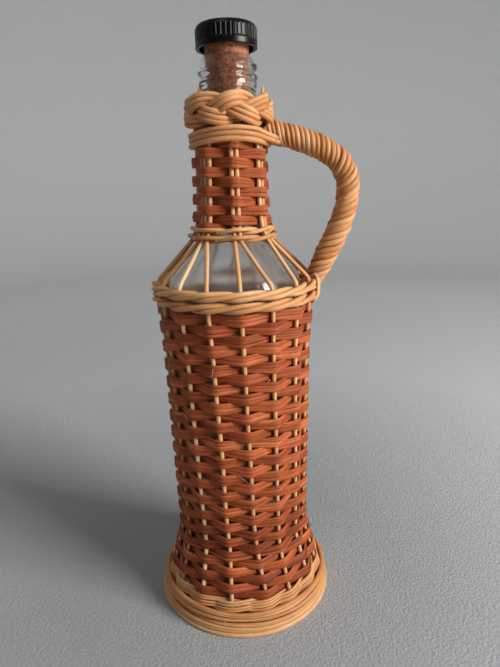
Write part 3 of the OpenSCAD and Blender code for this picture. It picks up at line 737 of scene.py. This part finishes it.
def collar_winding():
    """The rods wound under the collar. Each sinks and rises twice a turn by a cosine. The
    lowest goes right round, and the other two run on over the handle's root."""
    rods = []
    # Height and half thickness of a rod, and the height at which it leaves for the handle
    for m, (z, thick, low) in enumerate(((262.1, 1.15, 258.6), (259.7, 1.25, 256.6),
                                         (257.1, 1.4, None))):
        a = np.linspace(90, -290, 190) if low is None else np.linspace(52, -232, 150)
        x = np.linspace(0, STAKES, len(a))
        level = z - 0.9 * (1 - np.cos(np.radians(2 * (a - 12)))) + ripple(x, 0.12)
        ring = at(a, WIND_R - 0.1 * m + ripple(x, 0.1), level)
        if low is not None:
            front = np.array([[27.0, -2.6, low - 1.2], [24.6, -4.2, low - 0.7],
                              [21.8, -7.0, low], [18.2, -10.0, 0.5 * (low + level[0])]])
            back = (front * [1, -1, 1])[::-1]
            ring = refine(np.concatenate([filled(front, 0.8), ring, filled(back, 0.8)]), 1, 2.5)
        n = np.arange(len(ring))
        half = thick * np.clip(np.minimum(n, n[::-1]) / 5, 0.3, 1)
        rods.append(strand(ring, unit(ring * [1, 1, 0]), half, half, shade(0.5, 0.06), sides=12))
    cane_piece("collar_wound_rods", rods, pale, "pale_cane", "collar_winding")


def collar_plait():
    """The plait: three leads of rods in three turns. A lead's height is `middle` plus `sway`
    times a sine with seven swings, and its distance a sine with twice as many, so that the
    leads pass over and under each other."""
    steps, parts, turns, sway, middle, spacing, half_d = 420, 84, 3, 4.3, 270.6, 2.35, 1.25
    i = np.arange(1, steps) * parts / steps
    a = HANDLE_A + i * turns * 360 / parts
    q = np.radians(i * GROUPS * 360 / parts)
    mid = at(a, PLAIT_R + PLAIT_DEPTH * np.sin(2 * q), middle + sway * np.sin(q))
    along = ahead_of(mid)
    v = square_to(unit(mid * [1, 1, 0]), along)
    w = np.cross(v, along)
    x = np.linspace(0, STAKES, len(mid))
    for side, level, nodes in ((1, "upper", ["collar_plait_upper"]), (0, "middle", []),
                               (-1, "lower", ["collar_plait_lower"])):
        shift = side * spacing + ripple(x, 0.24, (3, 5, 8, 13))
        lift = ripple(x, 0.15, (4, 7, 11)) + 0.25 * (side == 0)
        path = mid + shift[:, None] * w + lift[:, None] * v
        half = half_d * (1 + ripple(x, 0.04, (3, 8, 12)))
        rod = strand(path, v, half, half, shade(0.5, 0.06), sides=12)
        cane_piece(f"collar_rods_{level}", [rod], pale, "pale_cane", *nodes)


def collar_ends():
    """Two cut stakes that stand up behind the plait."""
    low = 273.0
    for name, a, high, material in (("cut_stake_right", 73, 281.6, pale),
                                    ("cut_stake_left", -44, 280.6, dyed)):
        t = np.linspace(0, 1, 8)
        path = at(a + 3 * t, 17.6 + 0.5 * t, low + (high - low) * t)
        half = np.array([1.0] * 6 + [0.85, 0.45])
        out = np.broadcast_to(at(a, 1.0, 0.0), path.shape)
        cane_piece(name, [strand(path, out, half * 0.7, half, 0.6, sides=8)], material,
                   "pale_cane" if material is pale else "dyed_cane")


def foot():
    """The ring that the bottle stands on, cut flat below, and the rods that wind onto it. Each
    rod starts further round and higher than the last, rises as it goes, leans in with height
    and tapers at both ends."""
    a = np.linspace(0, 360, 241) + HANDLE_A + 180
    s = strand(at(a, np.full(len(a), RING_R), np.full(len(a), RING_Z)), at(a, 1, 0), ROD_D / 2,
               ROD_D / 2, 0.7, sides=16)
    s["points"][:, 2] = np.maximum(s["points"][:, 2], 0)
    cane_piece("foot_lowest_rod", [s], pale, "pale_cane", "foot_ring")
    count, stagger, sweep, step, climb, half_d = 6, 47, 400, 1.72, 1.5, 1.02
    rods = []
    for m in range(count):
        x = np.linspace(0, 1, 260)
        a = HANDLE_A + 130 + stagger * m + x * sweep
        z = BORDER_LOW - 0.6 + m * step + climb * (x - 0.5) + ripple(x * STAKES, 0.36)
        r = RING_R + 0.15 - 0.2 * (z - RING_Z) + ripple(x * STAKES, 0.26)
        r -= 0.9 * np.clip((0.1 - x) / 0.1, 0, 1)
        taper = np.clip(np.minimum(x, 1 - x) / 0.12, 0.2, 1)
        half = half_d * taper * (1 + ripple(x * STAKES, 0.1))
        rods.append(strand(at(a, r, z), at(a, 1, 0), half * 1.25, half, shade(0.54, 0.09),
                           sides=14))
    cane_piece("foot_border_rods", rods, pale, "pale_cane", "foot_border")


def base():
    """The woven base: crossed sticks fanned out to sixteen, and a strip woven through them."""
    reach, bend_r, crossing_r, spacing = 44.0, 17, 10, 2.7
    for level, upper in (("lower", False), ("upper", True)):
        lift = (1 if upper else -1) * (STAKE_R + 0.1)
        turn = math.radians(float(body_a(-0.5, BASE_Z)) + (90 if upper else 0))
        sticks = []
        for k in range(4):
            x, a = (k - 1.5) * spacing, math.radians((k - 1.5) * 360 / STAKES)
            near = [[r * math.sin(a), -r * math.cos(a), BASE_Z] for r in (reach, bend_r)]
            near.append([x, -crossing_r, BASE_Z + lift])
            far = [[p[0], -p[1], p[2]] for p in near[::-1]]
            p = np.array(near + far) @ np.array([[math.cos(turn), math.sin(turn), 0],
                                                 [-math.sin(turn), math.cos(turn), 0], UP])
            path = refine(filled(p, 2.5), 1, 1.2)
            sticks.append(strand(path, np.broadcast_to(UP, path.shape), STAKE_R, STAKE_R,
                                 shade(0.6), sides=10))
        cane_piece(f"base_rods_{level}", sticks, pale, "pale_cane", f"base_sticks_{level}")
    strips, first_r, step, half_w = [], 19.5, 4.6, 1.95
    for k in range(5):
        j = STAKES / 2 + k % 2 + np.arange(-2, STAKES + 3)
        side = np.where((j + k) % 2 == 0, 1, -1)
        p = at(body_a(j, BASE_Z), np.full(len(j), first_r + step * k), BASE_Z + side * PASS)
        path = refine(p, 6, 1.6, 2)[1:-1]
        strips.append(strand(path, np.broadcast_to(UP, path.shape), BAND_T / 2, half_w,
                             shade(0.6), sides=12, square=0.35))
    cane_piece("base_woven_strip", strips, pale, "pale_cane", "base_weave")


def handle_line(count, past):
    """Evenly spaced points on the handle's Bezier curve, carried on straight for `past`
    beyond its foot and half as far before its root, and their distance along it."""
    t = np.linspace(0, 1, 2000)[:, None]
    c = HANDLE_CURVE
    p = ((1 - t) ** 3 * c[0] + 3 * (1 - t) ** 2 * t * c[1] + 3 * (1 - t) * t ** 2 * c[2]
         + t ** 3 * c[3])
    ahead = (c[3] - c[2]) / np.linalg.norm(c[3] - c[2])
    back = (c[0] - c[1]) / np.linalg.norm(c[0] - c[1])
    p = np.concatenate([[p[0] + back * past / 2], p, [p[-1] + ahead * past]])
    length = np.concatenate([[0], np.cumsum(np.linalg.norm(np.diff(p, axis=0), axis=1))])
    s = np.linspace(0, length[-1], count)
    return s, np.stack([np.interp(s, length, p[:, 0]), np.interp(s, length, p[:, 1])], 1)


def handle():
    """The handle: a bundle of rods, and six strands wound side by side round it as a right-
    handed screw. The angle grows by 360 degrees for each pitch, and the pitch grows
    downwards. The radius and the pitch shrink where the handle meets the shoulder band."""
    s, p = handle_line(1200, 10.0)
    d = ahead_of(p)
    mid = np.stack([p[:, 0], 0 * s, p[:, 1]], 1)
    side = np.stack([-d[:, 1], 0 * s, d[:, 0]], 1)
    across = np.broadcast_to([0.0, 1.0, 0.0], side.shape)
    core, rod_r = [], 1.3
    for m in range(7):
        q = math.radians(60 * m)
        reach = 0 if m == 6 else 2.35
        path = (mid + reach * (math.cos(q) * side + math.sin(q) * across))[::8]
        core.append(strand(path, side[::8], rod_r, rod_r, shade(0.4), sides=8))
    cane_piece("handle_rods", core, pale, "pale_cane", "handle_core")
    count, top_pitch, more, thin_reach, half_t = 6, 13, 9, 20, 1.22
    thin = 1 - 0.42 * np.clip((s - s[-1] + thin_reach) / thin_reach, 0, 1) ** 1.6
    pitch = top_pitch + more * np.clip(s / s[-1] * 1.5, 0, 1)
    turn = np.concatenate([[0], np.cumsum(360 * np.diff(s) / pitch[1:])])
    x = np.linspace(0, STAKES, len(s))
    strands = []
    for m in range(count):
        q = np.radians(turn + 360 * m / count + ripple(x, 2.6, (2, 3, 5, 9)))
        out = np.cos(q)[:, None] * side - np.sin(q)[:, None] * across
        lead = np.arctan2(pitch, 2 * math.pi * WRAP_R)
        half_w = pitch / count * np.cos(lead) / 2 * 1.05 * (1 + ripple(x, 0.09)) * thin
        lift = (WRAP_R - 0.2 + ripple(x, 0.24, (2, 3, 5, 8))) * thin
        path = mid + lift[:, None] * out
        strands.append(strand(path[6::3], out[6::3], half_t, half_w[6::3], shade(0.46, 0.08),
                              sides=10))
    cane_piece("handle_winding", strands, pale, "pale_cane", "handle_wrap")


def handle_tails():
    """The ends of the handle's strands: over the shoulder band and down outside it, each at
    its own distance y from the handle's middle and leaning back towards it."""
    tails, half_d = [], 1.2
    for y in (-8.0, -6.1, -4.2, -2.3, 2.3, 4.4, 6.4):
        lean = -0.12 * y + chance.uniform(-0.6, 0.6)
        path = np.array([[42.6, y * 0.5, 190.2], [43.9, y * 0.7, 189.4], [45.0, y * 0.9, 187.3],
                         [45.1, y + 0.3 * lean, 183.0], [44.4, y + 0.6 * lean, 179.0],
                         [42.9, y + lean, 176.2], [41.0, y + 1.2 * lean, 174.9]])
        path[:, 0] -= 0.012 * path[:, 1] ** 2
        path = refine(filled(path, 0.8), 1, 2.2)
        n = np.arange(len(path))
        half = np.full(len(path), half_d) * np.clip((len(path) - n) / 5, 0.4, 1)
        tails.append(strand(path, np.broadcast_to([1.0, 0.0, 0.1], path.shape), half * 0.7, half,
                            shade(0.62, 0.08), sides=10))
    cane_piece("handle_tails", tails, pale, "pale_cane")


def handle_lashing():
    """The tie round the shoulder band: two turns of a squared oval, whose cosine and sine are
    drawn out to their 0.4th power, while it moves from one side to the other."""
    top, low, in_x, out_x, half_y, turns = 188.9, 177.0, 38.0, 45.35, 1.75, 2
    q = np.radians(45 + np.linspace(0, turns * 360, 121))
    squared = [np.sign(c) * np.abs(c) ** 0.4 for c in (np.cos(q), np.sin(q))]
    path = np.stack([(in_x + out_x) / 2 + (out_x - in_x) / 2 * squared[0],
                     np.linspace(-half_y, half_y, len(q)),
                     (low + top) / 2 + (top - low) / 2 * squared[1]], 1)
    out = np.stack([np.cos(q), 0 * q, np.sin(q)], 1)
    lashing = strand(refine(path, 1, 2.0), out, 0.42, 0.8, 0.6, sides=10, square=0.3)
    cane_piece("handle_lashing", [lashing], pale, "pale_cane", "handle_tie")


def fibres():
    """Loose fibres of the cane: thin tapered hairs that lift off the surface in a curl. Each
    has its azimuth, height, distance from the axis and reach."""
    spots = [(60, 263, 22, 5), (88, 258, 30, 9), (84, 246, 60, 7), (80, 228, 58, 6),
             (20, 219, 20, 5), (-22, 214, 22, 4), (-10, 150, 41, 5), (-14, 146, 41, 7),
             (70, 132, 41, 6), (100, 110, 40, 12), (30, 143, 41, 5), (5, 92, 40, 5),
             (-35, 120, 40, 4), (150, 130, 41, 6), (200, 90, 40, 7), (250, 60, 40, 6),
             (-60, 40, 40, 5), (45, 30, 43, 4), (82, 262, 25, 8), (77, 259, 25, 10),
             (86, 262, 31, 6), (95, 261, 28, 8), (84, 213, 54, 5), (64, 276, 21, 6),
             (12, 277, 21, 6)]
    hairs = []
    for a, z, r, reach in spots:
        t = np.linspace(0, 1, 14)
        bend = chance.uniform(-1, 1, 3)
        out = at(a, 1, 0)
        side = np.cross(UP, out)
        sideways = reach * (bend[0] * t + 0.5 * bend[1] * t ** 2)
        path = (at(a, r, z) + np.outer(t * reach * 0.55, out) + np.outer(sideways, side)
                + np.outer(reach * bend[2] * t ** 1.5, UP))
        half = 0.15 * (1 - 0.75 * t)
        hairs.append(strand(path, np.broadcast_to(UP + 0.3 * side, path.shape), half, half,
                            0.75, sides=5))
    cane_piece("loose_fibres", hairs, pale, "pale_cane")


glass_bottle()
cork()
cap()
weave()
neck_weave()
stakes()
bands()
collar_winding()
collar_plait()
collar_ends()
foot()
base()
handle()
handle_tails()
handle_lashing()
fibres()


# ---------------------------------------------------------------- stage, light and camera
def stage():
    """A pale floor that turns up into a wall all round, so that no edge shows: a profile (r, z)
    of a level, a quarter circle and an upright, turned once round."""
    columns, flat_r, bend_r, wall_top = 96, 1300, 400, 2600
    bend = np.radians(np.arange(10, 91, 10))
    r = np.concatenate([[0.0, 300, 700, flat_r], flat_r + bend_r * np.sin(bend),
                        [flat_r + bend_r]])
    z = np.concatenate([[0.0, 0, 0, 0], bend_r * (1 - np.cos(bend)), [wall_top]])
    q = 2 * math.pi * np.arange(columns) / columns
    rows = len(r)
    grid = np.stack([r * np.sin(q)[:, None], -r * np.cos(q)[:, None],
                     np.broadcast_to(z, (columns, rows))], -1).reshape(-1, 3)
    i, k = np.meshgrid(np.arange(columns), np.arange(rows - 1), indexing="ij")
    i1 = (i + 1) % columns
    quads = np.stack([i * rows + k, i * rows + k + 1, i1 * rows + k + 1, i1 * rows + k], -1)
    mesh = make_mesh("floor", grid, quads.ravel(), np.full(quads.size // 4, 4))
    mesh.materials.append(floor_finish_painted_shade())
    floor = bpy.data.objects.new("floor", mesh)
    bpy.context.scene.collection.objects.link(floor)


def floor_finish_painted_shade():
    """Pale grey with a fine grain. Its colour carries painted light and shade: it is darker near
    the bottle, lighter farther out and lighter still up the wall. Behind the camera it is painted
    down to half, as the shade of a room, so that less light bounces back from there. Distances are
    in metres."""
    f = Finish("pale_floor_painted_shade")
    where = f.add("ShaderNodeTexCoord").outputs["Object"]
    away = f.add("ShaderNodeVectorMath", _operation="LENGTH")
    f.join(where, away.inputs[0])
    # Painted light and shade: the floor is darker near the bottle, and lighter farther out and up
    # the wall.
    near, far, wall = tint(0.67, 0.68, 0.69), tint(0.85, 0.86, 0.87), tint(0.96, 0.965, 0.97)
    spot = f.add("ShaderNodeSeparateXYZ")
    f.join(where, spot.inputs[0])
    # Painted shade: behind the camera the floor is darkened to half, so that less light bounces
    # back from there.
    front = f.add("ShaderNodeMapRange", From_Min=-1.2, From_Max=-0.35, To_Min=0.0, To_Max=1.0)
    f.join(spot.outputs["Y"], front.inputs["Value"])
    both = f.add("ShaderNodeVectorMath", _operation="MULTIPLY")
    f.join(f.ramp(away.outputs["Value"], [(0.1, near), (0.4, far), (0.95, wall)]),
           both.inputs[0])
    f.join(f.ramp(front.outputs[0], [(0.0, tint(0.5, 0.5, 0.5)), (1.0, (1, 1, 1, 1))]),
           both.inputs[1])
    f.join(both.outputs["Vector"], f.shader.inputs["Base Color"])
    f.bump(f.noise(where, 600.0, 4.0, 0.7), 0.9, 0.002)
    f.shader.inputs["Roughness"].default_value = 0.9
    f.shader.inputs["Specular IOR Level"].default_value = 0.1
    return f.material


def lamp(name, spot, target, size, power, colour):
    """A square soft light at a spot in metres, facing its target."""
    data = bpy.data.lights.new(name, "AREA")
    data.shape, data.size, data.energy, data.color = "SQUARE", size, power, colour
    light = bpy.data.objects.new(name, data)
    light.location = spot
    light.rotation_euler = (Vector(target) - Vector(spot)).to_track_quat("-Z", "Y").to_euler()
    bpy.context.scene.collection.objects.link(light)


def camera():
    """The photograph's view: 28 mm on a 36 mm long side, looking down from the front, a
    little to the handle's side. Angles are in radians and the spot in metres."""
    pitch, roll, yaw, turn = 0.2645, -0.0295, 0.0262, math.radians(7.55)
    spot = (0, -0.2789, 0.2323)
    ahead = Vector((math.sin(yaw) * math.cos(pitch), math.cos(yaw) * math.cos(pitch),
                    -math.sin(pitch)))
    right = Vector((math.cos(yaw), -math.sin(yaw), 0))
    up = right.cross(ahead)
    right, up = (math.cos(roll) * right + math.sin(roll) * up,
                 -math.sin(roll) * right + math.cos(roll) * up)
    axes = Matrix((right, up, -ahead)).transposed()
    data = bpy.data.cameras.new("camera")
    data.lens, data.sensor_width, data.clip_start = 28.06, 36.0, 0.01
    eye = bpy.data.objects.new("camera", data)
    eye.matrix_world = (Matrix.Rotation(turn, 4, "Z") @ Matrix.Translation(spot)
                        @ axes.to_4x4())
    bpy.context.scene.collection.objects.link(eye)
    bpy.context.scene.camera = eye


daylight = (1.0, 0.985, 0.965)
stage()
camera()
lamp("window", (0.85, -0.38, 0.55), (0, 0, 0.14), 0.42, 14.0, daylight)
lamp("room", (-0.1, -0.55, 1.0), (0, 0, 0.2), 0.5, 1.5, daylight)
world = bpy.data.worlds.new("room_light")
bpy.context.scene.world = world
world.use_nodes = True
background = world.node_tree.nodes["Background"]
background.inputs["Color"].default_value = (1.0, 0.985, 0.96, 1)
background.inputs["Strength"].default_value = 0.15
bpy.context.scene.view_settings.view_transform = "Standard"
